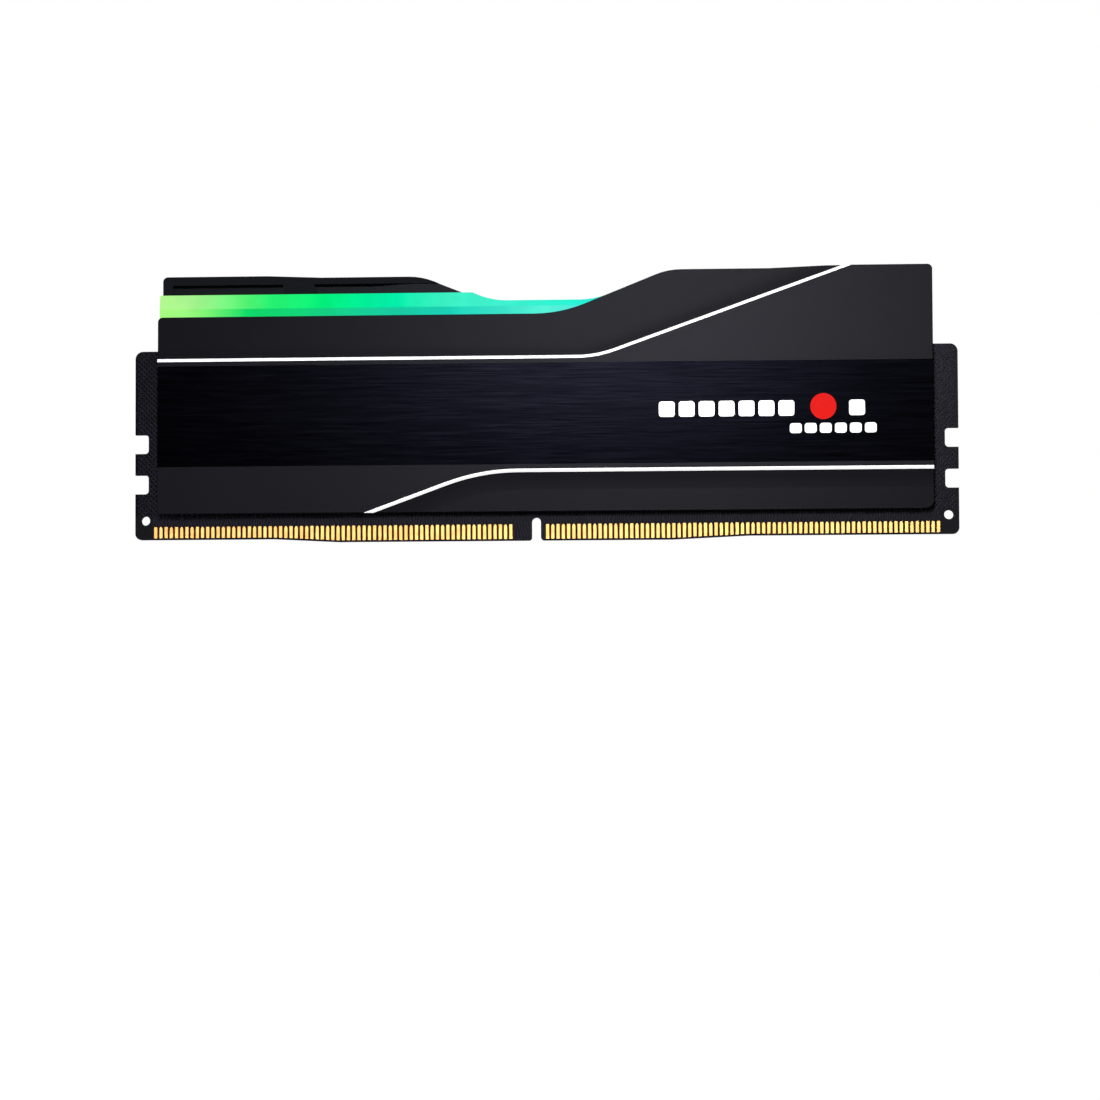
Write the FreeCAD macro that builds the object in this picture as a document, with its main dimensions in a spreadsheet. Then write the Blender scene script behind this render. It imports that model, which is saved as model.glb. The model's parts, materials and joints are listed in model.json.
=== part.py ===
import FreeCAD, Part
import math
import os
import re

import Sketcher
from FreeCAD import Placement, Rotation, Vector

# Desktop memory module with two heat spreaders and a light bar along its top.
#
# X runs along the module, -Y is its front, +Z is up. The origin is the middle of the contact
# edge, on the board's mid-plane, at the lowest level of that edge. The back half of the cooler
# is the front half turned half a turn about Z, because both spreaders are one stamping.
#
# Every sketch is drawn on a plane parallel to XZ, a stated distance in front of the board's
# mid-plane, unless it says otherwise. Lengths are millimetres and angles are degrees.

DIMENSIONS = {
    # Circuit board
    "board_length": 133.35,
    "board_height": 31.25,
    "board_thickness": 1.27,
    "board_top_radius": 1.25,
    "board_foot_radius": 1.0,
    "edge_step": 0.55,
    "step_left_outer": 44.0,
    "step_left_inner": 33.5,
    "step_right_inner": 20.6,
    "step_right_outer": 33.0,
    "notch_depth": 2.18,
    "notch_radius": 0.6,
    "upper_notch_top": 17.66,
    "upper_notch_bottom": 14.55,
    "lower_notch_top": 11.08,
    "lower_notch_bottom": 7.97,
    "key_offset": -1.4,
    "key_width": 1.5,
    "key_depth": 3.69,
    "key_mouth_radius": 0.5,
    "hole_radius": 0.75,
    "hole_spacing": 130.0,
    "hole_rise": 3.64,
    # Gold contacts
    "contact_pitch": 0.85,
    "contact_width": 0.58,
    "contact_top": 2.6,
    "contact_margin": 0.25,
    "contact_thickness": 0.03,
    "square_tip_cut": 0.05,
    "square_tip_drop": 0.05,
    "pointed_tip_cut": 0.2,
    "pointed_tip_drop": 0.34,
    "left_contact_start": -63.325,
    "left_contact_count": 69,
    "right_contact_start": 0.425,
    "right_contact_count": 75,
    # Memory chips
    "chip_length": 10.0,
    "chip_height": 11.0,
    "chip_thickness": 1.1,
    "chip_rise": 17.5,
    "chip_inset": 14.5,
    "chip_pitch": 12.5,
    "chips_per_side": 4,
    "chip_dot_radius": 0.4,
    "chip_dot_depth": 0.05,
    "chip_dot_inset": 1.2,
    # Power and control parts in the middle of the board
    "pmic_size": 5.0,
    "pmic_thickness": 0.9,
    "pmic_rise": 18.5,
    "inductor_length": 2.5,
    "inductor_height": 2.0,
    "inductor_thickness": 1.0,
    "inductor_pitch": 3.6,
    "inductor_count": 3,
    "inductor_rise": 24.4,
    "hub_length": 2.0,
    "hub_height": 3.0,
    "hub_thickness": 0.6,
    "hub_rise": 10.2,
    "controller_size": 3.0,
    "controller_thickness": 0.75,
    "controller_offset": -12.4,
    "controller_rise": 28.3,
    # Small ceramic parts, in rows
    "bulk_capacitor_length": 1.6,
    "bulk_capacitor_height": 0.8,
    "bulk_capacitor_thickness": 0.8,
    "bulk_capacitor_pitch": 2.2,
    "bulk_capacitor_count": 6,
    "bulk_capacitor_rise": 14.1,
    "chip_capacitor_length": 1.0,
    "chip_capacitor_height": 0.5,
    "chip_capacitor_thickness": 0.5,
    "chip_capacitor_pitch": 3.5,
    "chip_capacitor_count": 14,
    "chip_capacitor_inset": 10.2,
    "chip_capacitor_rise": 25.4,
    "resistor_length": 0.5,
    "resistor_height": 1.0,
    "resistor_thickness": 0.35,
    "resistor_pitch": 2.0,
    "resistor_count": 58,
    "resistor_rise": 6.6,
    # Lamps along the board's top edge
    "lamp_length": 1.6,
    "lamp_height": 1.0,
    "lamp_thickness": 0.6,
    "lamp_pitch": 12.4,
    "lamp_count": 10,
    "lamp_rise": 30.4,
    # Pads that fill the space between the board and the spreaders
    "spreader_gap": 1.6,
    "chip_pad_overhang": 0.5,
    "pmic_pad_overhang": 0.3,
    "foam_inset": 8.0,
    "foam_outer": 60.0,
    "foam_bottom": 8.0,
    "foam_top": 28.0,
    # Heat spreader outline
    "spreader_length": 125.2,
    "spreader_bottom": 4.47,
    "spreader_top": 43.77,
    "shoulder_top": 43.43,
    "shoulder_start": 36.5,
    "crest_start": 45.5,
    "low_top": 36.5,
    "rise_start": 2.82,
    "rise_angle": 21.8,
    "rise_root_radius": 22.0,
    "rise_crest_radius": 11.0,
    "spreader_corner_radius": 0.8,
    "panel_foot_radius": 0.3,
    "sweep_foot_radius": 1.3,
    "plate_thickness": 1.15,
    "panel_thickness": 0.6,
    "edge_bevel": 0.1,
    # Accent lines along the raised panel, and the hollow sweep beside each
    "accent_width": 0.52,
    "accent_bevel": 0.45,
    "accent_flat": 0.12,
    "upper_accent_rise": 29.18,
    "upper_accent_bend": 8.6,
    "upper_accent_angle": 19.55,
    "upper_accent_radius": 18.8,
    "upper_accent_sweep": 0.16,
    "lower_accent_rise": 11.36,
    "lower_accent_bend": -10.2,
    "lower_accent_angle": 20.1,
    "lower_accent_radius": 34.0,
    "lower_accent_sweep": 0.115,
    "sweep_width": 3.4,
    "sweep_sink": 0.003,
    "overshoot": 3.0,
    # Brushed insert in the raised panel
    "insert_bottom": 12.1,
    "insert_top": 28.46,
    "insert_recess": 0.55,
    "insert_thickness": 0.4,
    "insert_tape_thickness": 0.05,
    # Relief pockets inside the tall part of each spreader, with a deeper groove along their top
    "relief_depth": 0.5,
    "relief_top": 42.35,
    "relief_bottom": 39.2,
    "outer_relief_outer": 61.0,
    "outer_relief_inner": 42.9,
    "inner_relief_outer": 37.7,
    "inner_relief_inner": 14.0,
    "relief_slant": 0.9,
    "groove_height": 0.42,
    "groove_depth": 0.9,
    "groove_point": 21.8,
    "groove_taper": 6.0,
    # Light bar
    "bar_length": 125.0,
    "bar_half_width": 2.0,
    "bar_bottom": 32.4,
    "bar_crease": 37.95,
    "bar_top": 40.3,
    "bar_top_half_width": 1.4,
    "valley_floor": 38.9,
    "valley_half_floor": 8.5,
    "valley_half_mouth": 11.6,
    "valley_radius": 12.0,
    "guide_half_width": 1.25,
    "guide_bottom": 31.5,
    "guide_top": 35.3,
    "guide_length": 122.0,
    "bar_tape_bottom": 32.6,
    "bar_tape_top": 35.6,
}

LEFT_RIGHT = (("left", "-"), ("right", "+"))
HALF_TURN = Placement(Vector(0, 0, 0), Rotation(Vector(0, 0, 1), 180))
LONGEST_NAME = 59
MOST_FILES = 60
POSITION_TOLERANCE = 1e-3
FULL_TURN = 2 * math.pi
SHORTEST_BEVEL = 2.0

doc = FreeCAD.newDocument("memory_module")
pieces = []


# ---------------------------------------------------------------- sheet and expressions

def make_sheet():
    """Fill the spreadsheet that every size is bound to."""
    sheet = doc.addObject("Spreadsheet::Sheet", "dims")
    for row, (alias, value) in enumerate(DIMENSIONS.items(), start=1):
        sheet.set(f"A{row}", alias)
        sheet.set(f"B{row}", str(value))
        sheet.setAlias(f"B{row}", alias)
    doc.recompute()
    return sheet


def formula(text):
    """Turn words that are aliases into references to the sheet: 'a / 2' becomes 'dims.a / 2'."""
    return re.sub(r"\b([a-z_]{3,})\b(?!\()", r"dims.\1", text)


def number(text):
    """The present value of an expression written with aliases."""
    value = sheet.evalExpression(formula(text))
    return float(getattr(value, "Value", value))


def angle(alias):
    """An angle for use inside sin, cos or tan."""
    return f"({alias} * 1 °)"


def slope(alias):
    """The tangent of the angle that an alias holds."""
    return f"tan({angle(alias)})"


# ---------------------------------------------------------------- sketches

def new_body(label, turned=False):
    """A body for one piece. A turned one sits on the back of the module."""
    body = doc.addObject("PartDesign::Body", label)
    body.Label = label
    if turned:
        body.Placement = HALF_TURN
    pieces.append(body)
    return body


def new_sketch(body, purpose, offset="0", plane="XZ_Plane"):
    """A sketch on one of the body's own origin planes, moved along its normal by offset."""
    sketch = body.newObject("Sketcher::SketchObject", f"{body.Name}_{purpose}")
    base = next(item for item in body.Origin.OriginFeatures if item.Role == plane)
    sketch.AttachmentSupport = [(base, "")]
    sketch.MapMode = "FlatFace"
    sketch.setExpression(".AttachmentOffset.Base.z", formula(offset))
    return sketch


def bind(sketch, kind, where, expression):
    """Add one constraint whose value follows the sheet."""
    index = sketch.addConstraint(Sketcher.Constraint(kind, *where, number(expression)))
    sketch.setExpression(f"Constraints[{index}]", formula(expression))


def pin(sketch, geometry, end, corner):
    """Fix one end of a line or arc at a corner given as two expressions."""
    bind(sketch, "DistanceX", (-1, 1, geometry, end), corner[0])
    bind(sketch, "DistanceY", (-1, 1, geometry, end), corner[1])


def join(sketch, first, second):
    """Make the end of one edge the start of another."""
    sketch.addConstraint(Sketcher.Constraint("Coincident", first, 2, second, 1))


def point(corner):
    return Vector(number(corner[0]), number(corner[1]), 0)


def draw_loop(sketch, corners):
    """A closed outline of straight lines through the corners."""
    first = sketch.GeometryCount
    points = [point(corner) for corner in corners]
    for start, end in zip(points, points[1:] + points[:1]):
        sketch.addGeometry(Part.LineSegment(start, end), False)
    for index, corner in enumerate(corners):
        join(sketch, first + index, first + (index + 1) % len(corners))
        pin(sketch, first + index, 1, corner)


def draw_line(sketch, start, end):
    index = sketch.addGeometry(Part.LineSegment(point(start), point(end)), False)
    pin(sketch, index, 1, start)
    pin(sketch, index, 2, end)


def draw_arc(sketch, start, end, centre, radius):
    """The shorter arc about a centre between two places."""
    circle = Part.Circle(point(centre), Vector(0, 0, 1), number(radius))
    turns = [circle.parameter(point(corner)) for corner in (start, end)]
    if (turns[1] - turns[0]) % FULL_TURN > FULL_TURN / 2:
        start, end = end, start
        turns.reverse()
    index = sketch.addGeometry(Part.ArcOfCircle(circle, *turns), False)
    pin(sketch, index, 1, start)
    pin(sketch, index, 2, end)
    bind(sketch, "Radius", (index,), radius)


def draw_circle(sketch, centre, radius):
    index = sketch.addGeometry(Part.Circle(point(centre), Vector(0, 0, 1), number(radius)), False)
    pin(sketch, index, 3, centre)
    bind(sketch, "Radius", (index,), radius)


def rectangle(left, right, bottom, top):
    return [(left, bottom), (right, bottom), (right, top), (left, top)]


def centred(x, z, length, height):
    """A rectangle about a middle point."""
    return rectangle(f"{x} - {length} / 2", f"{x} + {length} / 2",
                     f"{z} - {height} / 2", f"{z} + {height} / 2")


# ---------------------------------------------------------------- features

def pad(body, sketch, length, both_ways=False):
    feature = body.newObject("PartDesign::Pad", f"{sketch.Name}_pad")
    feature.Profile = sketch
    feature.setExpression("Length", formula(length))
    feature.Midplane = both_ways
    doc.recompute()


def cut(body, sketch, depth=None, forwards=False):
    """Remove the sketch's area: to a depth on one side of it, or right through the body."""
    before = body.Shape.Volume
    feature = body.newObject("PartDesign::Pocket", f"{sketch.Name}_cut")
    feature.Profile = sketch
    if depth:
        feature.setExpression("Length", formula(depth))
        feature.Reversed = forwards
    else:
        feature.Type = "ThroughAll"
        feature.Midplane = True
    doc.recompute()
    if not body.Shape.Volume < before:
        raise RuntimeError(f"{feature.Name} removed nothing")


def edges_at(feature, spots):
    """Names of the feature's edges that run along Y through any of the (x, z) spots."""
    wanted = [(number(x), number(z)) for x, z in spots]
    names = []
    for index, edge in enumerate(feature.Shape.Edges, start=1):
        box = edge.BoundBox
        if box.XLength > POSITION_TOLERANCE or box.ZLength > POSITION_TOLERANCE:
            continue
        if any(abs(box.Center.x - x) + abs(box.Center.z - z) < POSITION_TOLERANCE for x, z in wanted):
            names.append(f"Edge{index}")
    if len(names) < len(wanted):
        raise RuntimeError(f"{feature.Name}: found {len(names)} of {len(wanted)} edges")
    return names


def rim_edges(feature):
    """Names of the long straight edges and the arcs where the spreader's faces meet its rim."""
    inner = -number(INNER_FACE)
    faces = (-number(PLATE_FACE), -number(PANEL_FACE))
    shape = feature.Shape
    rims = [face for face in shape.Faces if abs(face.BoundBox.YMax - inner) < POSITION_TOLERANCE]
    names = []
    for index, edge in enumerate(shape.Edges, start=1):
        box = edge.BoundBox
        level = any(abs(y - box.Center.y) < POSITION_TOLERANCE for y in faces)
        if not level or box.YLength > POSITION_TOLERANCE:
            continue
        straight = isinstance(edge.Curve, Part.Line)
        on_rim = any(edge.isSame(other) for face in rims for other in face.Edges)
        if on_rim and not (straight and edge.Length < SHORTEST_BEVEL):
            names.append(f"Edge{index}")
    return names


def bevel_rim(body):
    """Break the spreader's sharp outer edge."""
    base = body.Tip
    feature = body.newObject("PartDesign::Chamfer", f"{base.Name}_bevel")
    feature.Base = (base, rim_edges(base))
    feature.setExpression("Size", formula("edge_bevel"))
    doc.recompute()


def round_corners(body, spots, radius):
    """Round the edges of the body's latest feature that run along Y through the spots."""
    base = body.Tip
    feature = body.newObject("PartDesign::Fillet", f"{base.Name}_round")
    feature.Base = (base, edges_at(base, spots))
    feature.setExpression("Radius", formula(radius))
    doc.recompute()


def repeat(body, sketch, pitch, count, feature=None):
    """Repeat a feature, or all that the body holds so far, along the sketch's X at a pitch."""
    pattern = body.newObject("PartDesign::LinearPattern", f"{body.Name}_row")
    if feature:
        pattern.Originals = [feature]
    else:
        pattern.TransformMode = "Whole shape"
    pattern.Direction = (sketch, ["H_Axis"])
    pattern.Mode = "Spacing"
    pattern.setExpression("Offset", formula(pitch))
    pattern.setExpression("Occurrences", formula(count))
    body.Tip = pattern
    doc.recompute()


def sweep(body, purpose, section, spine):
    """Add a section carried along a spine."""
    feature = body.newObject("PartDesign::AdditivePipe", f"{body.Name}_{purpose}")
    feature.Profile = section
    feature.Spine = spine
    doc.recompute()


def plate(label, outline, front_of, thickness, turned=False):
    """A flat piece: an outline a stated distance in front of the board, thickened forwards."""
    body = new_body(label, turned)
    sketch = new_sketch(body, "outline", front_of)
    draw_loop(sketch, outline)
    pad(body, sketch, thickness)
    return body


# ---------------------------------------------------------------- circuit board

BOARD_FACE = "board_thickness / 2"


def board_outline():
    """The board's edge, anticlockwise from its lower left corner, with four latch notches."""
    half = "board_length / 2"
    wall = "(board_length / 2 - notch_depth)"
    right = [
        (half, "edge_step"),
        (half, "lower_notch_bottom"), (wall, "lower_notch_bottom"),
        (wall, "lower_notch_top"), (half, "lower_notch_top"),
        (half, "upper_notch_bottom"), (wall, "upper_notch_bottom"),
        (wall, "upper_notch_top"), (half, "upper_notch_top"),
        (half, "board_height"),
    ]
    left = [(f"-{x}", z) for x, z in reversed(right)]
    foot = [
        ("-step_left_outer", "edge_step"), ("-step_left_inner", "0"),
        ("step_right_inner", "0"), ("step_right_outer", "edge_step"),
    ]
    return right + left + foot


def make_board():
    body = new_body("circuit_board")
    sketch = new_sketch(body, "outline")
    draw_loop(sketch, board_outline())
    pad(body, sketch, "board_thickness", both_ways=True)
    half = "board_length / 2"
    round_corners(body, [(f"{side}{half}", "board_height") for _, side in LEFT_RIGHT], "board_top_radius")
    round_corners(body, [(f"{side}{half}", "edge_step") for _, side in LEFT_RIGHT], "board_foot_radius")
    wall = "(board_length / 2 - notch_depth)"
    levels = ("lower_notch_bottom", "lower_notch_top", "upper_notch_bottom", "upper_notch_top")
    corners = [(f"{side}{wall}", z) for _, side in LEFT_RIGHT for z in levels]
    round_corners(body, corners, "notch_radius")
    cut_key(body)
    holes = new_sketch(body, "holes")
    for _, side in LEFT_RIGHT:
        draw_circle(holes, (f"{side}hole_spacing / 2", "hole_rise"), "hole_radius")
    cut(body, holes)


def cut_key(body):
    """The keying slot: straight sides, a round top and a slightly flared mouth."""
    left = "key_offset - key_width / 2"
    right = "key_offset + key_width / 2"
    shoulder = "key_depth - key_width / 2"
    slot = new_sketch(body, "key_slot")
    draw_loop(slot, rectangle(left, right, "-overshoot", shoulder))
    cut(body, slot)
    round_corners(body, [(left, "0"), (right, "0")], "key_mouth_radius")
    crown = new_sketch(body, "key_crown")
    draw_circle(crown, ("key_offset", shoulder), "key_width / 2")
    cut(body, crown)


def contact_outline(centre, tip):
    """One pad up to its tip, whose corners are cut off. The cuts share the alias stem tip."""
    left = f"{centre} - contact_width / 2"
    right = f"{centre} + contact_width / 2"
    shoulder = f"contact_top - {tip}_drop"
    return [
        (left, "contact_margin"), (right, "contact_margin"), (right, shoulder),
        (f"{right} - {tip}_cut", "contact_top"), (f"{left} + {tip}_cut", "contact_top"), (left, shoulder),
    ]


def make_contacts(label, start, count, front):
    """One row of gold pads whose tips are square and pointed in turn.

    The first pad is single and the others come in pairs, so a row holds an odd number. The
    pads are cut off at the bottom a little above the board's stepped edge.
    """
    body = new_body(label)
    first = new_sketch(body, "first", front)
    draw_loop(first, contact_outline(start, "square_tip"))
    pad(body, first, "contact_thickness")
    pair = new_sketch(body, "pair", front)
    draw_loop(pair, contact_outline(f"{start} + contact_pitch", "pointed_tip"))
    draw_loop(pair, contact_outline(f"{start} + 2 * contact_pitch", "square_tip"))
    pad(body, pair, "contact_thickness")
    repeat(body, pair, "2 * contact_pitch", f"({count} - 1) / 2", body.Tip)
    foot = new_sketch(body, "foot", front)
    draw_loop(foot, stepped_foot())
    cut(body, foot)


def stepped_foot():
    """The area below the contacts, which follows the board's stepped edge."""
    half = "board_length / 2"
    low = "-overshoot"
    raised = "edge_step + contact_margin"
    return [
        (f"-{half}", low), (half, low), (half, raised),
        ("step_right_outer", raised), ("step_right_inner", "contact_margin"),
        ("-step_left_inner", "contact_margin"), ("-step_left_outer", raised), (f"-{half}", raised),
    ]


# ---------------------------------------------------------------- electronic parts

def make_chip(label, x):
    """A memory package: a thin block with a round mark moulded at its first corner."""
    outline = centred(x, "chip_rise", "chip_length", "chip_height")
    body = plate(label, outline, BOARD_FACE, "chip_thickness")
    dot = new_sketch(body, "dot", f"{BOARD_FACE} + chip_thickness")
    corner = (f"{x} - chip_length / 2 + chip_dot_inset", "chip_rise + chip_height / 2 - chip_dot_inset")
    draw_circle(dot, corner, "chip_dot_radius")
    cut(body, dot, "chip_dot_depth")


def make_row(label, x, z, size, pitch, count):
    """Equal small parts in a row, the first one about x. Their sizes share the alias stem size."""
    body = new_body(label)
    sketch = new_sketch(body, "outline", BOARD_FACE)
    draw_loop(sketch, centred(x, z, f"{size}_length", f"{size}_height"))
    pad(body, sketch, f"{size}_thickness")
    repeat(body, sketch, pitch, count)


def row_start(pitch, count):
    """Where a row about the middle of the board starts."""
    return f"-{pitch} * ({count} - 1) / 2"


def make_electronics():
    per_side = int(number("chips_per_side"))
    for index in range(per_side):
        for place, side in ((per_side - index, "-"), (per_side + 1 + index, "")):
            make_chip(f"memory_chip_{place}", f"{side}(chip_inset + chip_pitch * {index})")
    pmic = centred("0", "pmic_rise", "pmic_size", "pmic_size")
    plate("power_manager", pmic, BOARD_FACE, "pmic_thickness")
    hub = centred("0", "hub_rise", "hub_length", "hub_height")
    plate("serial_hub", hub, BOARD_FACE, "hub_thickness")
    controller = centred("controller_offset", "controller_rise", "controller_size", "controller_size")
    plate("lamp_controller", controller, BOARD_FACE, "controller_thickness")
    for label, size in (("power_inductors", "inductor"), ("power_capacitors", "bulk_capacitor"),
                        ("termination_resistors", "resistor"), ("lamps", "lamp")):
        pitch, count = f"{size}_pitch", f"{size}_count"
        make_row(label, row_start(pitch, count), f"{size}_rise", size, pitch, count)
    run = "chip_capacitor_pitch * (chip_capacitor_count - 1)"
    for side, start in (("left", f"-chip_capacitor_inset - {run}"), ("right", "chip_capacitor_inset")):
        make_row(f"chip_capacitors_{side}", start, "chip_capacitor_rise", "chip_capacitor",
                 "chip_capacitor_pitch", "chip_capacitor_count")


# ---------------------------------------------------------------- pads between board and spreaders

INNER_FACE = "(board_thickness / 2 + spreader_gap)"


def make_pads():
    """Heat pads over the chips at the front, and foam strips that fill the back."""
    inner = "(chip_inset - chip_length / 2 - chip_pad_overhang)"
    outer = "(chip_inset + chip_pitch * (chips_per_side - 1) + chip_length / 2 + chip_pad_overhang)"
    bottom = "chip_rise - chip_height / 2 - chip_pad_overhang"
    top = "chip_rise + chip_height / 2 + chip_pad_overhang"
    chip_face = f"{BOARD_FACE} + chip_thickness"
    chip_space = "spreader_gap - chip_thickness"
    plate("heat_pad_left", rectangle(f"-{outer}", f"-{inner}", bottom, top), chip_face, chip_space)
    plate("heat_pad_right", rectangle(inner, outer, bottom, top), chip_face, chip_space)
    side = "(pmic_size + 2 * pmic_pad_overhang)"
    plate("heat_pad_power", centred("0", "pmic_rise", side, side),
          f"{BOARD_FACE} + pmic_thickness", "spreader_gap - pmic_thickness")
    for label, near, far in (("foam_strip_left", "-foam_outer", "-foam_inset"),
                             ("foam_strip_right", "foam_inset", "foam_outer")):
        strip = rectangle(near, far, "foam_bottom", "foam_top")
        plate(label, strip, f"-{INNER_FACE}", "spreader_gap")


# ---------------------------------------------------------------- heat spreaders

HALF = "spreader_length / 2"
PLATE_FACE = f"({INNER_FACE} + plate_thickness)"
PANEL_FACE = f"({INNER_FACE} + plate_thickness + panel_thickness)"

# The two bends of the accent lines. Each line starts level at one end of the spreader, runs
# to its bend and from there slopes away from the insert, to the top edge or the bottom edge.
# away is +1 where that is upwards.
UPPER = {"stem": "upper_accent", "away": 1, "end": "spreader_top"}
LOWER = {"stem": "lower_accent", "away": -1, "end": "spreader_bottom"}


def line_points(line, shift="0", beyond="0"):
    """Start, bend and end of an accent line moved away from the insert by shift.

    The end lies beyond the spreader's edge by the height that beyond gives.
    """
    stem, away = line["stem"], line["away"]
    level = f"({stem}_rise + {away} * ({shift}))"
    bend = f"({stem}_bend - {away} * ({shift}) * {half_slope(line)})"
    end_level = f"({line['end']} + {away} * {beyond})"
    end = f"({bend} + ({end_level} - {level}) / {slope(stem + '_angle')})"
    return [(f"{-away} * {HALF}", level), (bend, level), (end, end_level)]


def half_slope(line):
    """The tangent of half the angle that a line turns through at its bend."""
    return f"tan({line['stem']}_angle * 0.5 °)"


def draw_spine(sketch, line):
    """The inner edge of an accent line as a level run, an arc and a sloping run."""
    stem, away = line["stem"], line["away"]
    start, (bend, level), end = line_points(line, beyond="overshoot")
    radius = f"{stem}_radius"
    reach = f"{away} * {radius} * {half_slope(line)}"
    turn = angle(stem + "_angle")
    arc_start = (f"{bend} - {reach}", level)
    arc_end = (f"{bend} + {reach} * cos({turn})", f"{level} + {reach} * sin({turn})")
    centre = (f"{bend} - {reach}", f"{level} + {away} * {radius}")
    draw_line(sketch, start, arc_start)
    draw_arc(sketch, arc_start, arc_end, centre, radius)
    draw_line(sketch, arc_end, end)


def along_line(body, line, draw_section):
    """Carry a section, drawn on a plane across the module, along an accent line."""
    stem, away = line["stem"], line["away"]
    spine = new_sketch(body, f"{stem}_spine", PLATE_FACE)
    draw_spine(spine, line)
    section = new_sketch(body, f"{stem}_section", f"{-away} * {HALF}", "YZ_Plane")
    draw_section(section, line)
    sweep(body, f"{stem}_sweep", section, spine)


def away_from(line, distance):
    """The height of a place on the spreader's end a distance outside an accent line's inner edge."""
    return f"{line['stem']}_rise + {line['away']} * ({distance})"


def draw_sweep_section(sketch, line):
    """A hollow curve that rises to the accent line, on a root sunk in the plate."""
    root = f"-({PLATE_FACE} - plate_thickness / 2)"
    lift = f"{line['stem']}_sweep"
    crown = f"-({PLATE_FACE} + {lift})"
    toe = f"-({PLATE_FACE} - sweep_sink)"
    near = away_from(line, "accent_width")
    far = away_from(line, "accent_width + sweep_width")
    height = f"({lift} + sweep_sink)"
    radius = f"(sweep_width * sweep_width + {height} * {height}) / (2 * {height})"
    draw_line(sketch, (root, near), (crown, near))
    draw_arc(sketch, (crown, near), (toe, far), (f"{toe} - {radius}", far), radius)
    draw_line(sketch, (toe, far), (root, far))
    draw_line(sketch, (root, far), (root, near))


def draw_accent_section(sketch, line):
    """A low strip with a narrow flat beside the panel and a wide bevel falling away from it."""
    inner = away_from(line, "0")
    outer = away_from(line, "accent_width")
    draw_loop(sketch, [
        (f"-{PLATE_FACE}", inner), (f"-{PANEL_FACE}", inner),
        (f"-{PANEL_FACE}", away_from(line, "accent_flat")),
        (f"-({PANEL_FACE} - accent_bevel)", outer), (f"-{PLATE_FACE}", outer),
    ])


def spreader_outline():
    """The stamping's edge, anticlockwise from its lower left corner."""
    root = "rise_start"
    crest = f"rise_start + (shoulder_top - low_top) / {slope('rise_angle')}"
    return [
        (f"-{HALF}", "spreader_bottom"), (HALF, "spreader_bottom"), (HALF, "spreader_top"),
        ("crest_start", "spreader_top"), ("shoulder_start", "shoulder_top"),
        (crest, "shoulder_top"), (root, "low_top"), (f"-{HALF}", "low_top"),
    ]


def panel_outline():
    """The raised panel: what lies between the two accent lines."""
    upper_start, upper_bend, upper_end = line_points(UPPER)
    lower_start, lower_bend, lower_end = line_points(LOWER)
    return [
        (f"-{HALF}", "spreader_bottom"), lower_end, lower_bend, lower_start,
        (HALF, "spreader_top"), upper_end, upper_bend, upper_start,
    ]


def trim_end(body, line):
    """Cut away what a sweep along an accent line leaves past the spreader's edge."""
    sketch = new_sketch(body, f"{line['stem']}_trim")
    if line is UPPER:
        crest = spreader_outline()[2:6]
        ceiling = "spreader_top + 3 * overshoot"
        draw_loop(sketch, crest + [(crest[-1][0], ceiling), (HALF, ceiling)])
    else:
        floor = "spreader_bottom - 3 * overshoot"
        draw_loop(sketch, rectangle(f"-{HALF}", HALF, floor, "spreader_bottom"))
    cut(body, sketch)


def relief_outlines():
    """Two hollows behind the tall part. The inner one runs out through the sloping edge."""
    top, bottom = "relief_top", "relief_bottom"
    run = f"(relief_top - relief_bottom) / {slope('rise_angle')}"
    outer = [
        ("outer_relief_inner - relief_slant", bottom), ("outer_relief_outer", bottom),
        ("outer_relief_outer", top), ("outer_relief_inner", top),
    ]
    inner = [
        (f"inner_relief_inner - {run}", bottom), ("inner_relief_outer - relief_slant", bottom),
        ("inner_relief_outer", top), ("inner_relief_inner", top),
    ]
    return [outer, inner]


def groove_outlines():
    """The strip along the top of each relief. The inner one runs out to a point."""
    top, bottom = "relief_top", "relief_top - groove_height"
    outer = rectangle("outer_relief_inner", "outer_relief_outer", bottom, top)
    inner = [
        ("groove_point + groove_taper", bottom), ("inner_relief_outer", bottom),
        ("inner_relief_outer", top), ("groove_point", top),
    ]
    return [outer, inner]


def make_spreader(label, turned):
    """One stamping: plate, raised panel, hollow sweeps beside it, insert recess and reliefs."""
    outline = spreader_outline()
    body = plate(label, outline, INNER_FACE, "plate_thickness", turned)
    round_corners(body, [outline[6]], "rise_root_radius")
    round_corners(body, [outline[5]], "rise_crest_radius")
    panel = new_sketch(body, "panel", PLATE_FACE)
    draw_loop(panel, panel_outline())
    pad(body, panel, "panel_thickness")
    for line in (UPPER, LOWER):
        round_corners(body, [line_points(line)[1]], f"{line['stem']}_radius")
    for line in (UPPER, LOWER):
        along_line(body, line, draw_sweep_section)
        trim_end(body, line)
    round_corners(body, outline[0:1], "panel_foot_radius")
    round_corners(body, outline[1:2], "sweep_foot_radius")
    round_corners(body, [outline[2], outline[7]], "spreader_corner_radius")
    recess = new_sketch(body, "recess", PANEL_FACE)
    draw_loop(recess, rectangle(f"-{HALF}", HALF, "insert_bottom", "insert_top"))
    cut(body, recess, "insert_recess")
    reliefs = new_sketch(body, "reliefs", INNER_FACE)
    for relief in relief_outlines():
        draw_loop(reliefs, relief)
    cut(body, reliefs, "relief_depth", forwards=True)
    grooves = new_sketch(body, "grooves", INNER_FACE)
    for groove in groove_outlines():
        draw_loop(grooves, groove)
    cut(body, grooves, "groove_depth", forwards=True)
    bevel_rim(body)


def make_accents(face, turned):
    for name, line in (("upper", UPPER), ("lower", LOWER)):
        body = new_body(f"accent_line_{face}_{name}", turned)
        along_line(body, line, draw_accent_section)
        trim_end(body, line)


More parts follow.
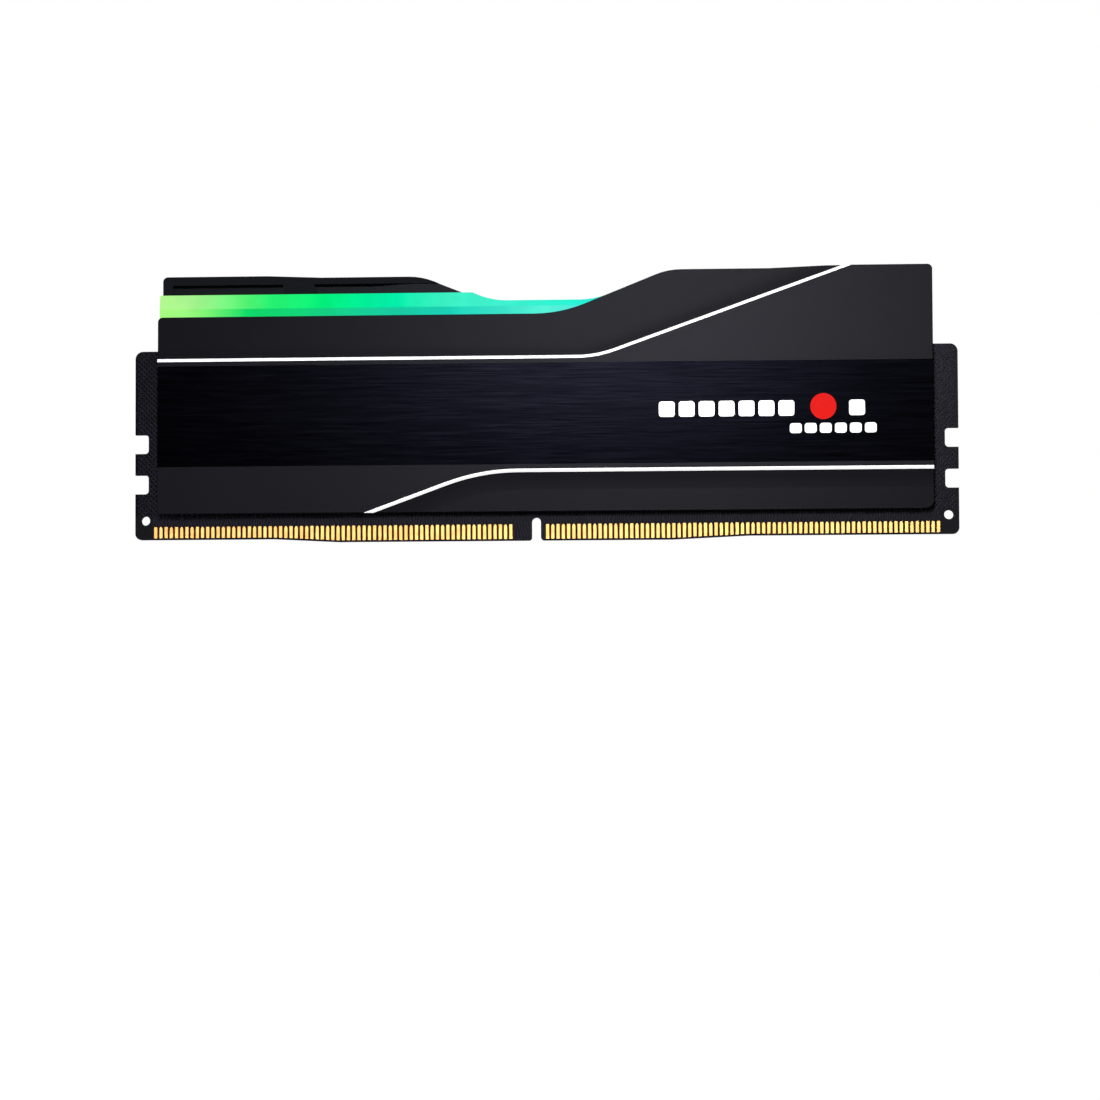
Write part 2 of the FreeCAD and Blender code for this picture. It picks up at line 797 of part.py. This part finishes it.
def make_insert(face, turned):
    """The brushed strip and the film that bonds it into the panel's recess."""
    area = rectangle(f"-{HALF}", HALF, "insert_bottom", "insert_top")
    floor = f"({PANEL_FACE} - insert_recess)"
    plate(f"insert_tape_{face}", area, floor, "insert_tape_thickness", turned)
    plate(f"brushed_insert_{face}", area, f"({floor} + insert_tape_thickness)", "insert_thickness", turned)


# ---------------------------------------------------------------- light bar

def draw_bar_section(sketch):
    """The light bar across the module: two legs about the guide, upright sides, sloping top."""
    left = [
        ("-bar_half_width", "bar_bottom"), ("-bar_half_width", "bar_crease"),
        ("-bar_top_half_width", "bar_top"),
    ]
    right = [(y[1:], z) for y, z in reversed(left)]
    channel = [
        ("guide_half_width", "bar_bottom"), ("guide_half_width", "guide_top"),
        ("-guide_half_width", "guide_top"), ("-guide_half_width", "bar_bottom"),
    ]
    draw_loop(sketch, left + right + channel)


def make_light_bar():
    body = new_body("light_bar")
    section = new_sketch(body, "section", plane="YZ_Plane")
    draw_bar_section(section)
    pad(body, section, "bar_length", both_ways=True)
    ceiling = "bar_top + overshoot"
    valley = new_sketch(body, "valley")
    floor_left, floor_right = ("-valley_half_floor", "valley_floor"), ("valley_half_floor", "valley_floor")
    draw_loop(valley, [
        floor_left, floor_right, ("valley_half_mouth", "bar_top"), ("valley_half_mouth", ceiling),
        ("-valley_half_mouth", ceiling), ("-valley_half_mouth", "bar_top"),
    ])
    cut(body, valley)
    round_corners(body, [floor_left, floor_right], "valley_radius")


def make_light_guide():
    """The clear bar between the lamps and the light bar."""
    body = new_body("light_guide")
    section = new_sketch(body, "section", plane="YZ_Plane")
    draw_loop(section, rectangle("-guide_half_width", "guide_half_width", "guide_bottom", "guide_top"))
    pad(body, section, "guide_length", both_ways=True)


def make_bar_tape(face, turned):
    """The black foam tape that grips the light bar against a spreader."""
    area = rectangle("-bar_length / 2", "bar_length / 2", "bar_tape_bottom", "bar_tape_top")
    plate(f"bar_tape_{face}", area, "bar_half_width", f"{INNER_FACE} - bar_half_width", turned)


# ---------------------------------------------------------------- the whole module

def make_all_contacts():
    faces = {"front": BOARD_FACE, "back": f"-{BOARD_FACE} - contact_thickness"}
    for face, front in faces.items():
        for side, _ in LEFT_RIGHT:
            start, count = f"{side}_contact_start", f"{side}_contact_count"
            make_contacts(f"contacts_{face}_{side}", start, count, front)


def make_cooler():
    for face, turned in (("front", False), ("back", True)):
        make_spreader(f"heat_spreader_{face}", turned)
        make_accents(face, turned)
        make_insert(face, turned)
        make_bar_tape(face, turned)
    make_light_bar()
    make_light_guide()


def check_document():
    """Stop if a feature failed or a piece is not a sound solid."""
    for item in doc.Objects:
        if "Invalid" in item.State or "Error" in item.State:
            raise RuntimeError(f"{item.Name} failed: {item.State}")
    if len(pieces) > MOST_FILES:
        raise RuntimeError(f"{len(pieces)} pieces are too many")
    for piece in pieces:
        shape = piece.Shape
        if shape.isNull() or not shape.isValid() or not shape.Solids:
            raise RuntimeError(f"{piece.Label} is not a valid solid")
        if len(piece.Label) > LONGEST_NAME:
            raise RuntimeError(f"{piece.Label} is too long a name")


def write_parts():
    os.makedirs("parts", exist_ok=True)
    for piece in pieces:
        piece.Shape.exportStep(os.path.join("parts", f"{piece.Label}.step"))


sheet = make_sheet()
make_board()
make_all_contacts()
make_electronics()
make_pads()
make_cooler()
doc.recompute()
check_document()
write_parts()
print(f"{len(pieces)} pieces written")
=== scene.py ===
import json
import math

import bmesh
import bpy
from mathutils import Matrix, Vector


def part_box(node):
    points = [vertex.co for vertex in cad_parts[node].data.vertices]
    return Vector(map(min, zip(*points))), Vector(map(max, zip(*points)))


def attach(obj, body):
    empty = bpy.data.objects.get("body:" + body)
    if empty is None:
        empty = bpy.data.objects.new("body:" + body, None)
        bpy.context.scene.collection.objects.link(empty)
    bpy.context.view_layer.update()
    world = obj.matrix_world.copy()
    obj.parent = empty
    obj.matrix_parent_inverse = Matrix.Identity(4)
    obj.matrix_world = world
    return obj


# Looks for a desktop memory module with two heat spreaders and a light bar.
#
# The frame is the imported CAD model: X along the module, -Y its front, +Z up, in metres. Lengths
# below are millimetres where a name ends in _MM, and MM turns them into metres.

MM = 0.001

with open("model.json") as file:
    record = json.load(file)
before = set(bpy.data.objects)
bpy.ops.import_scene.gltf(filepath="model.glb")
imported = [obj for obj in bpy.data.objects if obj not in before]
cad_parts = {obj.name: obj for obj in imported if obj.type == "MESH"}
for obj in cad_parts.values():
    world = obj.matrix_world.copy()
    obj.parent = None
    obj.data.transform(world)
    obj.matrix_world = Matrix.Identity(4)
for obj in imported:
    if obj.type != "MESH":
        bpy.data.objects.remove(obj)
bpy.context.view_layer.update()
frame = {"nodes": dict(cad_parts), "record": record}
nodes = frame["nodes"]

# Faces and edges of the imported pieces. The bar's crease is where its upright sides start to slope.
BOARD_HALF_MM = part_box("circuit_board")[1].x / MM
BOARD_FACE_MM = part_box("circuit_board")[1].y / MM
PANEL_FACE_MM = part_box("heat_spreader_back")[1].y / MM
MARK_FACE_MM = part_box("brushed_insert_front")[0].y / MM
INNER_FACE_MM = 2.235
GROOVE_FLOOR_MM = INNER_FACE_MM + 0.9
BAR_CREASE_MM = 37.95

# Copper under the solder mask: a mesh above, and traces between the contacts and the mesh.
CONTACT_PITCH_MM = 0.85
TRACE_PITCH_MM = CONTACT_PITCH_MM / 2
TRACE_TOP_MM = 4.3
TRACE_END_MM = 63.7
MESH_PITCH_MM = 0.8
MESH_POLISH = 0.17
COPPER_MARGIN_MM = 0.4

# The solder mask ends this far inside the board's faces, where its bare cut edge begins.
MASK_LAP_MM = 0.02

# How far the edge of a painted or masked area takes to change over.
EDGE_MM = 0.1

# The shading of a brushed insert leans by this slope, which moves its highlight toward -X.
INSERT_LEAN = -0.0165
BRUSH_DEPTH_MM = 0.0012


# ---------------------------------------------------------------- node recipes

class Recipe:
    """One procedural material while it is being put together."""

    def __init__(self, name, **uniform):
        self.material = bpy.data.materials.new(name)
        self.material.use_nodes = True
        self.tree = self.material.node_tree
        self.tree.nodes.clear()
        self.shader = self.node("ShaderNodeBsdfPrincipled", **uniform)
        output = self.node("ShaderNodeOutputMaterial")
        self.tree.links.new(self.shader.outputs["BSDF"], output.inputs["Surface"])
        self.place = self.node("ShaderNodeTexCoord").outputs["Object"]

    def node(self, kind, settings=None, **inputs):
        """Add a node. An input is a plain value, or the output of another node."""
        made = self.tree.nodes.new(kind)
        for name, value in (settings or {}).items():
            setattr(made, name, value)
        for name, value in inputs.items():
            self.feed(made.inputs[name.replace("_", " ")], value)
        return made

    def feed(self, socket, value):
        """Link an output to a socket, or set the socket's own value."""
        if isinstance(value, bpy.types.NodeSocket):
            self.tree.links.new(value, socket)
        elif socket.type == "RGBA":
            socket.default_value = (*value, 1.0)
        else:
            socket.default_value = value

    def set(self, name, value):
        """Feed one of the shader's inputs."""
        self.feed(self.shader.inputs[name], value)

    def math(self, operation, first, second=0.0):
        """One step of arithmetic."""
        made = self.node("ShaderNodeMath", {"operation": operation})
        self.feed(made.inputs[0], first)
        self.feed(made.inputs[1], second)
        return made.outputs[0]

    def axis(self, letter):
        """One coordinate of the place on the object, in millimetres."""
        split = self.node("ShaderNodeSeparateXYZ", Vector=self.place)
        return self.math("MULTIPLY", split.outputs[letter], 1 / MM)

    def noise(self, size_mm, detail=2.0, stretch=(1, 1, 1)):
        """Noise whose grains are about size_mm across, stretched along each axis."""
        scale = [1 / (size_mm * MM * times) for times in stretch]
        placed = self.node("ShaderNodeMapping", Vector=self.place, Scale=scale)
        made = self.node("ShaderNodeTexNoise", Vector=placed.outputs[0], Scale=1.0, Detail=detail)
        return made.outputs["Fac"]

    def between(self, factor, low, high, start=0.0, end=1.0):
        """Map a factor's start to end onto low to high, held level beyond them."""
        made = self.node("ShaderNodeMapRange", Value=factor, From_Min=start, From_Max=end,
                         To_Min=low, To_Max=high)
        return made.outputs[0]

    def closeness(self, value, target, reach):
        """1 where a value is at a target, falling to 0 at a reach away from it."""
        away = self.math("ABSOLUTE", self.math("SUBTRACT", value, target))
        return self.between(away, 1.0, 0.0, 0.0, reach)

    def blend(self, factor, first, second):
        """A colour between two colours."""
        made = self.node("ShaderNodeMix", {"data_type": "RGBA"})
        self.feed(made.inputs[0], factor)
        self.feed(made.inputs[6], first)
        self.feed(made.inputs[7], second)
        return made.outputs[2]

    def ramp(self, factor, stops):
        """A colour that runs through stops, each a place from 0 to 1 and a colour."""
        made = self.node("ShaderNodeValToRGB", Fac=factor)
        elements = made.color_ramp.elements
        elements.remove(elements[1])
        for index, (place, colour) in enumerate(stops):
            element = elements[0] if index == 0 else elements.new(place)
            element.position = place
            element.color = (*colour, 1.0)
        return made.outputs["Color"]

    def bump(self, height, depth_mm, strength=1.0):
        """Tilt the surface by a height map whose full range is depth_mm."""
        made = self.node("ShaderNodeBump", Height=height, Distance=depth_mm * MM, Strength=strength)
        self.set("Normal", made.outputs[0])


def coat_material():
    """Fine matt dark coat over stamped aluminium. The floors of the inner grooves are painted near black
    as painted shade, and the raised panel is painted lighter than the band around it as painted light.
    """
    made = Recipe("spreader_coat_look", Metallic=0.0, Specular_IOR_Level=0.033,
                  Specular_Tint=(0.86, 0.87, 1.0))
    grain = made.noise(0.12, detail=3.0)
    mottle = made.noise(9.0)
    depth = made.math("ABSOLUTE", made.axis("Y"))
    groove_floor_shade = made.closeness(depth, GROOVE_FLOOR_MM, 0.02)
    panel = made.between(depth, 0.0, 1.0, PANEL_FACE_MM - 3 * EDGE_MM, PANEL_FACE_MM - 2 * EDGE_MM)
    inner = made.between(depth, 0.5, 0.0, INNER_FACE_MM + EDGE_MM, INNER_FACE_MM + 2 * EDGE_MM)
    # The raised panel's coat is painted about twice as light as the band's: painted light for the light
    # the raised panel catches. The mottle is random tone.
    band_coat = made.blend(mottle, (0.0040, 0.0039, 0.0062), (0.0050, 0.0049, 0.0078))
    panel_coat_painted_light = made.blend(mottle, (0.0078, 0.0077, 0.0112), (0.0094, 0.0093, 0.0134))
    coat = made.blend(panel, band_coat, panel_coat_painted_light)
    # The groove floors are painted near black: painted shade in the recess.
    made.set("Base Color", made.blend(groove_floor_shade, coat, (0.0004, 0.0004, 0.0005)))
    polish = made.math("MULTIPLY", made.between(panel, 1.0, 0.96), made.between(grain, 0.28, 0.375))
    made.set("Roughness", made.math("MAXIMUM", made.math("MAXIMUM", groove_floor_shade, inner), polish))
    made.bump(grain, 0.003)
    return made.material


def insert_material():
    """Black anodised metal, brushed along the module."""
    made = Recipe("brushed_insert_look", Metallic=1.0, Anisotropic=0.4)
    fine = made.noise(0.1, detail=3.0, stretch=(60, 1, 1))
    broad = made.noise(0.2, detail=3.0, stretch=(44, 1, 1))
    lines = made.math("ADD", made.math("MULTIPLY", fine, 0.5), made.math("MULTIPLY", broad, 0.5))
    made.set("Base Color", made.ramp(lines, (
        (0.30, (0.00014, 0.00014, 0.00026)),
        (0.50, (0.00048, 0.00051, 0.00088)),
        (0.70, (0.00112, 0.00118, 0.00190)),
    )))
    made.set("Roughness", made.between(lines, 0.205, 0.24, 0.3, 0.7))
    lean = made.math("MULTIPLY", made.axis("X"), INSERT_LEAN)
    made.bump(made.math("ADD", made.math("MULTIPLY", lines, BRUSH_DEPTH_MM), lean), 1.0)
    along = made.node("ShaderNodeCombineXYZ", X=1.0, Y=0.0, Z=0.0)
    made.set("Tangent", along.outputs[0])
    return made.material


def accent_material():
    """Bright white paint, which glows a little as painted light."""
    made = Recipe("accent_white_glow_look", Metallic=0.0, Coat_Weight=0.2, Coat_Roughness=0.2,
                  Emission_Color=(1.0, 1.0, 1.0), Emission_Strength=0.6)
    speckle = made.noise(0.2, detail=3.0)
    made.set("Base Color", made.blend(speckle, (0.88, 0.88, 0.88), (0.95, 0.95, 0.95)))
    made.set("Roughness", made.between(speckle, 0.3, 0.45))
    return made.material


def red_ink_material():
    """Bright red screen ink, which glows a little as painted light."""
    made = Recipe("mark_red_glow_look", Metallic=0.0, Specular_IOR_Level=0.02,
                  Emission_Color=(0.85, 0.008, 0.006), Emission_Strength=0.35)
    speckle = made.noise(0.2, detail=3.0)
    made.set("Base Color", made.blend(speckle, (0.62, 0.010, 0.008), (0.74, 0.016, 0.012)))
    made.set("Roughness", made.between(speckle, 0.4, 0.55))
    return made.material


# Colours of the lit bar along X in millimetres: its sloping top faces, then its upright sides, whose
# darker glow is painted shade.
TOP_LIGHT = (
    (-62.0, (0.45, 0.97, 0.28)),
    (-58.0, (0.42, 0.96, 0.29)),
    (-52.0, (0.20, 0.93, 0.23)),
    (-48.5, (0.09, 0.93, 0.18)),
    (-44.5, (0.02, 0.91, 0.17)),
    (-36.0, (0.00, 0.90, 0.20)),
    (-23.5, (0.00, 0.90, 0.43)),
    (-15.0, (0.05, 0.92, 0.59)),
    (-7.0, (0.05, 0.91, 0.64)),
    (5.0, (0.02, 0.91, 0.66)),
    (24.0, (0.02, 0.52, 1.00)),
    (42.0, (0.10, 0.10, 1.00)),
    (62.0, (0.45, 0.03, 0.92)),
)
SIDE_LIGHT_SHADED = (
    (-62.0, (0.39, 0.96, 0.22)),
    (-58.0, (0.33, 0.95, 0.21)),
    (-55.0, (0.20, 0.90, 0.17)),
    (-52.0, (0.08, 0.83, 0.15)),
    (-48.5, (0.00, 0.73, 0.14)),
    (-40.0, (0.00, 0.66, 0.18)),
    (-23.5, (0.00, 0.62, 0.37)),
    (-15.0, (0.00, 0.66, 0.48)),
    (-7.0, (0.03, 0.78, 0.59)),
    (0.0, (0.08, 0.91, 0.68)),
    (24.0, (0.02, 0.38, 0.85)),
    (42.0, (0.07, 0.07, 0.80)),
    (62.0, (0.36, 0.02, 0.72)),
)


def light_run(made, stops):
    """The colour along X that a row of stops gives."""
    first, last = stops[0][0], stops[-1][0]
    along = made.between(made.axis("X"), 0.0, 1.0, first, last)
    return made.ramp(along, [((x - first) / (last - first), colour) for x, colour in stops])


def diffuser_material():
    """Milky plastic lit from inside, from yellow-green through green and aqua to violet."""
    made = Recipe("light_diffuser_look", Metallic=0.0, Specular_IOR_Level=0.02, Emission_Strength=1.0)
    height = made.axis("Z")
    on_top = made.between(height, 0.0, 1.0, BAR_CREASE_MM - EDGE_MM, BAR_CREASE_MM + EDGE_MM)
    # Below the crease the upright sides take the darker row: painted shade.
    colour = made.blend(on_top, light_run(made, SIDE_LIGHT_SHADED), light_run(made, TOP_LIGHT))
    cloud = made.between(made.noise(4.0), 0.0, 0.08, 0.35, 0.65)
    glow = made.blend(cloud, colour, (0.0, 0.0, 0.0))
    made.set("Emission Color", glow)
    made.set("Base Color", made.blend(0.98, glow, (0.0, 0.0, 0.0)))
    made.set("Roughness", made.between(made.noise(0.3), 0.3, 0.4))
    return made.material


def mask_material():
    """Black solder mask over a fine copper mesh, with fan-out traces above the contacts.

    The board's cut edges, and the walls of its holes, are matt.
    """
    made = Recipe("board_mask_look", Metallic=0.0, Specular_IOR_Level=0.06,
                  Specular_Tint=(0.82, 0.82, 1.0))
    x = made.axis("X")
    z = made.axis("Z")
    out = made.math("ABSOLUTE", x)
    rising = made.math("PINGPONG", made.math("ADD", x, z), MESH_PITCH_MM / 2)
    falling = made.math("PINGPONG", made.math("SUBTRACT", x, z), MESH_PITCH_MM / 2)
    mesh = made.between(made.math("MINIMUM", rising, falling), 1.0, 0.0, 0.08, 0.14)
    drift = made.math("MULTIPLY", made.noise(2.2), 2.0)
    lanes = made.math("PINGPONG", made.math("ADD", x, drift), TRACE_PITCH_MM / 2)
    traces = made.between(lanes, 1.0, 0.0, 0.07, 0.12)
    over_contacts = made.between(out, 1.0, 0.0, TRACE_END_MM, TRACE_END_MM + EDGE_MM)
    in_mesh = made.between(z, 0.0, 1.0, TRACE_TOP_MM, TRACE_TOP_MM + EDGE_MM)
    in_traces = made.math("MULTIPLY", made.math("SUBTRACT", 1.0, in_mesh), over_contacts)
    copper = made.math("ADD", made.math("MULTIPLY", in_mesh, mesh),
                       made.math("MULTIPLY", in_traces, traces))
    copper_end = BOARD_HALF_MM - COPPER_MARGIN_MM
    inside = made.between(out, 1.0, 0.0, copper_end - EDGE_MM, copper_end)
    raised = made.math("MULTIPLY", copper, inside)
    made.set("Base Color", made.blend(raised, (0.0010, 0.0010, 0.0016), (0.0092, 0.0082, 0.0150)))
    blur = made.between(made.noise(1.5), 0.39, 0.46)
    coated = made.math("SUBTRACT", blur, made.math("MULTIPLY", in_mesh, MESH_POLISH))
    depth = made.math("ABSOLUTE", made.axis("Y"))
    mask_end = BOARD_FACE_MM - MASK_LAP_MM
    cut_edge = made.between(depth, 0.95, 0.0, mask_end - MASK_LAP_MM, mask_end)
    made.set("Roughness", made.math("MAXIMUM", coated, cut_edge))
    made.bump(raised, 0.012)
    return made.material


def gold_material():
    """Gold plate with light insertion marks, paler to the right as painted light, and brown along each
    pad's sides.
    """
    made = Recipe("contact_gold_look", Metallic=1.0)
    marks = made.noise(0.06, detail=2.0, stretch=(1, 1, 30))
    x = made.axis("X")
    # Random tone, plus painted light that makes the plate paler toward +X.
    tone_and_painted_light = made.math("ADD", made.between(made.noise(1.1), 0.0, 0.6, 0.35, 0.65),
                     made.between(x, 0.0, 0.4, -BOARD_HALF_MM, BOARD_HALF_MM))
    plate = made.blend(tone_and_painted_light, (0.57, 0.295, 0.088), (0.68, 0.45, 0.145))
    half_pitch = CONTACT_PITCH_MM / 2
    from_middle = made.math("PINGPONG", made.math("SUBTRACT", x, half_pitch), half_pitch)
    side = made.between(from_middle, 0.0, 1.0, 0.19, 0.27)
    made.set("Base Color", made.blend(side, plate, (0.16, 0.05, 0.006)))
    made.set("Roughness", made.between(marks, 0.42, 0.6))
    made.bump(marks, 0.003)
    return made.material


def plain_material(name, dark, light, rough, grain_mm, depth_mm, **uniform):
    """A speckled surface between two colours, rough from the first to the second value."""
    made = Recipe(name, **uniform)
    grain = made.noise(grain_mm, detail=3.0)
    made.set("Base Color", made.blend(grain, dark, light))
    made.set("Roughness", made.between(grain, *rough))
    made.bump(grain, depth_mm)
    return made.material


LOOKS = {
    "spreader_coat": coat_material(),
    "insert_brushed": insert_material(),
    "accent_white": accent_material(),
    "light_diffuser": diffuser_material(),
    "board_mask": mask_material(),
    "contact_gold": gold_material(),
    "chip_mould": plain_material("chip_mould_look", (0.02, 0.02, 0.021), (0.035, 0.035, 0.037),
                                 (0.5, 0.65), 0.08, 0.006),
    "ferrite": plain_material("ferrite_look", (0.10, 0.10, 0.11), (0.18, 0.18, 0.19),
                              (0.5, 0.7), 0.1, 0.01),
    "capacitor_ceramic": plain_material("capacitor_look", (0.42, 0.28, 0.17), (0.52, 0.37, 0.25),
                                        (0.3, 0.45), 0.1, 0.004),
    "resistor_ceramic": plain_material("resistor_look", (0.03, 0.03, 0.035), (0.07, 0.07, 0.075),
                                       (0.25, 0.4), 0.1, 0.004),
    "lamp": plain_material("lamp_look", (0.80, 0.80, 0.74), (0.9, 0.9, 0.86),
                           (0.25, 0.35), 0.2, 0.004),
    "heat_pad": plain_material("heat_pad_look", (0.30, 0.35, 0.40), (0.42, 0.48, 0.53),
                               (0.6, 0.8), 0.15, 0.02),
    "foam": plain_material("foam_look", (0.02, 0.02, 0.022), (0.07, 0.07, 0.075),
                           (0.8, 0.95), 0.2, 0.05),
    "bonding_film": plain_material("bonding_film_look", (0.68, 0.68, 0.65), (0.78, 0.78, 0.75),
                                   (0.3, 0.5), 0.3, 0.003),
    "bar_tape": plain_material("bar_tape_look", (0.012, 0.012, 0.012), (0.035, 0.035, 0.035),
                               (0.75, 0.95), 0.15, 0.03),
    "guide_clear": plain_material("guide_clear_look", (0.80, 0.95, 0.88), (0.92, 1.0, 0.97),
                                  (0.04, 0.1), 1.0, 0.002, Transmission_Weight=0.9, IOR=1.49),
}


def dress_frame():
    """Give every CAD node the look of its material slot."""
    for part in frame["record"]["subparts"]:
        look = LOOKS[part["material_slot"]]
        materials = nodes[part["node"]].data.materials
        materials.clear()
        materials.append(look)


# ---------------------------------------------------------------- printed mark

# A generic printed pattern on each insert: a row of plain blocks with one red disc, and a short
# row of smaller blocks under its right end. Lengths are millimetres.
MARK_THICKNESS = 0.02
BLOCK_COUNT = 7
BLOCK_SIZE = (2.55, 2.5)
BLOCK_STEP = 3.2
BLOCK_ROW = (18.6, 19.5)
END_BLOCK = (49.1, 19.5)
DISC_CENTRE = (45.0, 21.0)
DISC_RADIUS = 2.1
SMALL_COUNT = 6
SMALL_SIZE = (1.9, 1.6)
SMALL_STEP = 2.4
SMALL_ROW = (39.6, 16.7)
BLOCK_RADIUS = 0.45
CORNER_STEPS = 6
DISC_STEPS = 48


def prism(mesh, outline, front, back):
    """Add a closed slab to a bmesh: an outline of (x, z) corners between two depths."""
    rows = [[mesh.verts.new((x * MM, y * MM, z * MM)) for x, z in outline] for y in (front, back)]
    mesh.faces.new(rows[0])
    mesh.faces.new(list(reversed(rows[1])))
    for index in range(len(outline)):
        after = (index + 1) % len(outline)
        mesh.faces.new((rows[0][index], rows[1][index], rows[1][after], rows[0][after]))


def arc(centre, radius, start, end, steps):
    """Points along part of a circle, between two angles in degrees."""
    turns = [math.radians(start + (end - start) * step / steps) for step in range(steps + 1)]
    return [(centre[0] + radius * math.cos(turn), centre[1] + radius * math.sin(turn)) for turn in turns]


def rounded_block(corner, size, radius):
    """Corners of a rectangle with round corners."""
    left, bottom = corner[0] + radius, corner[1] + radius
    right, top = corner[0] + size[0] - radius, corner[1] + size[1] - radius
    centres = ((right, bottom), (right, top), (left, top), (left, bottom))
    outline = []
    for turn, centre in enumerate(centres):
        start = 90 * turn - 90
        outline += arc(centre, radius, start, start + 90, CORNER_STEPS)
    return outline


def new_piece(name, mesh, look):
    """Turn a bmesh into a piece that rides with the module."""
    bmesh.ops.recalc_face_normals(mesh, faces=mesh.faces)
    data = bpy.data.meshes.new(name)
    mesh.to_mesh(data)
    mesh.free()
    data.materials.append(look)
    piece = bpy.data.objects.new(name, data)
    bpy.context.scene.collection.objects.link(piece)
    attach(piece, "root")


def print_shapes(name, shapes, look, turned):
    """Print flat shapes on the front insert, or turned half a turn about Z, on the back one."""
    mesh = bmesh.new()
    for outline in shapes:
        prism(mesh, outline, MARK_FACE_MM - MARK_THICKNESS, MARK_FACE_MM)
    if turned:
        bmesh.ops.rotate(mesh, verts=mesh.verts, matrix=Matrix.Rotation(math.pi, 3, "Z"))
    new_piece(name, mesh, look)


def row_of_corners(first, step, count):
    """Lower left corners of a level row of blocks."""
    return [(first[0] + step * index, first[1]) for index in range(count)]


def print_marks():
    """Print the blocks in white and the disc in red on both inserts."""
    large = row_of_corners(BLOCK_ROW, BLOCK_STEP, BLOCK_COUNT) + [END_BLOCK]
    small = row_of_corners(SMALL_ROW, SMALL_STEP, SMALL_COUNT)
    blocks = [rounded_block(corner, BLOCK_SIZE, BLOCK_RADIUS) for corner in large]
    blocks += [rounded_block(corner, SMALL_SIZE, BLOCK_RADIUS) for corner in small]
    disc = arc(DISC_CENTRE, DISC_RADIUS, 0, 360, DISC_STEPS)[:-1]
    red = red_ink_material()
    for face, turned in (("front", False), ("back", True)):
        print_shapes(f"printed_blocks_{face}", blocks, LOOKS["accent_white"], turned)
        print_shapes(f"printed_disc_{face}", [disc], red, turned)


# ---------------------------------------------------------------- stage

CAMERA_PLACE_MM = (37.1, -644.1, -38.9)
CAMERA_TURN = (93.313, 0.2526, 3.2436)
CAMERA_LENS = 130.84
SENSOR_WIDTH = 36.0
FLOOR_TOP = -300.0
FLOOR_THICKNESS = 4.0
FLOOR_HALF = 4000.0

# Places, targets and sizes of the lights are metres, and powers are watts.
FACE_MIDDLE = (0.0, 0.0, 0.025)
KEY_SIZE = (0.07, 0.07)
STRIP_OUT = 0.386
STRIP_DEPTH = 0.46
STRIP_SIZE = (0.07, 0.5)
STRIP_POWER = 2.6
WORLD_LIGHTING = 0.15


def make_camera():
    """The camera of the main picture, below the module and a little to its right."""
    data = bpy.data.cameras.new("camera")
    data.lens = CAMERA_LENS
    data.sensor_width = SENSOR_WIDTH
    data.clip_start = 0.01
    data.clip_end = 100.0
    camera = bpy.data.objects.new("camera", data)
    camera.location = Vector(CAMERA_PLACE_MM) * MM
    camera.rotation_euler = [math.radians(turn) for turn in CAMERA_TURN]
    bpy.context.scene.collection.objects.link(camera)
    bpy.context.scene.camera = camera


def make_soft_light(name, place, target, size, power, sheen_only=False):
    """A rectangular soft box that faces a target. For sheen only, it adds highlights alone."""
    data = bpy.data.lights.new(name, "AREA")
    data.shape = "RECTANGLE"
    data.size, data.size_y = size
    data.energy = power
    light = bpy.data.objects.new(name, data)
    light.location = place
    light.rotation_euler = (Vector(target) - Vector(place)).to_track_quat("-Z", "Y").to_euler()
    light.visible_camera = False
    light.visible_diffuse = not sheen_only
    bpy.context.scene.collection.objects.link(light)


def make_lights():
    """A key light on each side, upright strips for sheen at the four quarters, and a wide top."""
    make_soft_light("key", (0.002, -0.5, 0.105), FACE_MIDDLE, KEY_SIZE, 1.55)
    make_soft_light("back_key", (-0.12, 0.5, 0.055), FACE_MIDDLE, KEY_SIZE, 1.7)
    for side in (-1, 1):
        for depth in (-STRIP_DEPTH, STRIP_DEPTH):
            place = (side * STRIP_OUT, depth, 0.0)
            make_soft_light(f"strip_{side}_{depth}", place, (0, 0, 0), STRIP_SIZE, STRIP_POWER,
                            sheen_only=True)
    make_soft_light("top", (0.0, 0.0, 0.9), (0, 0, 0), (1.2, 1.2), 3.0)


def make_world(lighting, shown):
    """Even light of one strength, behind which the backdrop is seen at another."""
    world = bpy.data.worlds.new("studio")
    world.use_nodes = True
    tree = world.node_tree
    tree.nodes.clear()
    background = tree.nodes.new("ShaderNodeBackground")
    backdrop = tree.nodes.new("ShaderNodeBackground")
    background.inputs["Color"].default_value = (*[lighting] * 3, 1.0)
    backdrop.inputs["Color"].default_value = (*[shown] * 3, 1.0)
    path = tree.nodes.new("ShaderNodeLightPath")
    mix = tree.nodes.new("ShaderNodeMixShader")
    output = tree.nodes.new("ShaderNodeOutputWorld")
    tree.links.new(path.outputs["Is Camera Ray"], mix.inputs[0])
    tree.links.new(background.outputs[0], mix.inputs[1])
    tree.links.new(backdrop.outputs[0], mix.inputs[2])
    tree.links.new(mix.outputs[0], output.inputs["Surface"])
    bpy.context.scene.world = world


def make_floor():
    """A wide pale floor below the camera's own height."""
    low = FLOOR_TOP - FLOOR_THICKNESS
    outline = [(-FLOOR_HALF, low), (FLOOR_HALF, low), (FLOOR_HALF, FLOOR_TOP), (-FLOOR_HALF, FLOOR_TOP)]
    mesh = bmesh.new()
    prism(mesh, outline, -FLOOR_HALF, FLOOR_HALF)
    bmesh.ops.recalc_face_normals(mesh, faces=mesh.faces)
    data = bpy.data.meshes.new("floor")
    mesh.to_mesh(data)
    mesh.free()
    look = plain_material("floor_look", (0.86, 0.86, 0.86), (0.9, 0.9, 0.9), (0.7, 0.8), 20.0, 0.01,
                          Emission_Color=(1.0, 1.0, 1.0), Emission_Strength=0.9)
    data.materials.append(look)
    floor = bpy.data.objects.new("floor", data)
    bpy.context.scene.collection.objects.link(floor)
    floor.visible_glossy = False
    floor.visible_diffuse = False


dress_frame()
print_marks()
make_camera()
make_world(WORLD_LIGHTING, 1.0)
make_lights()
make_floor()
bpy.context.scene.view_settings.view_transform = "Standard"
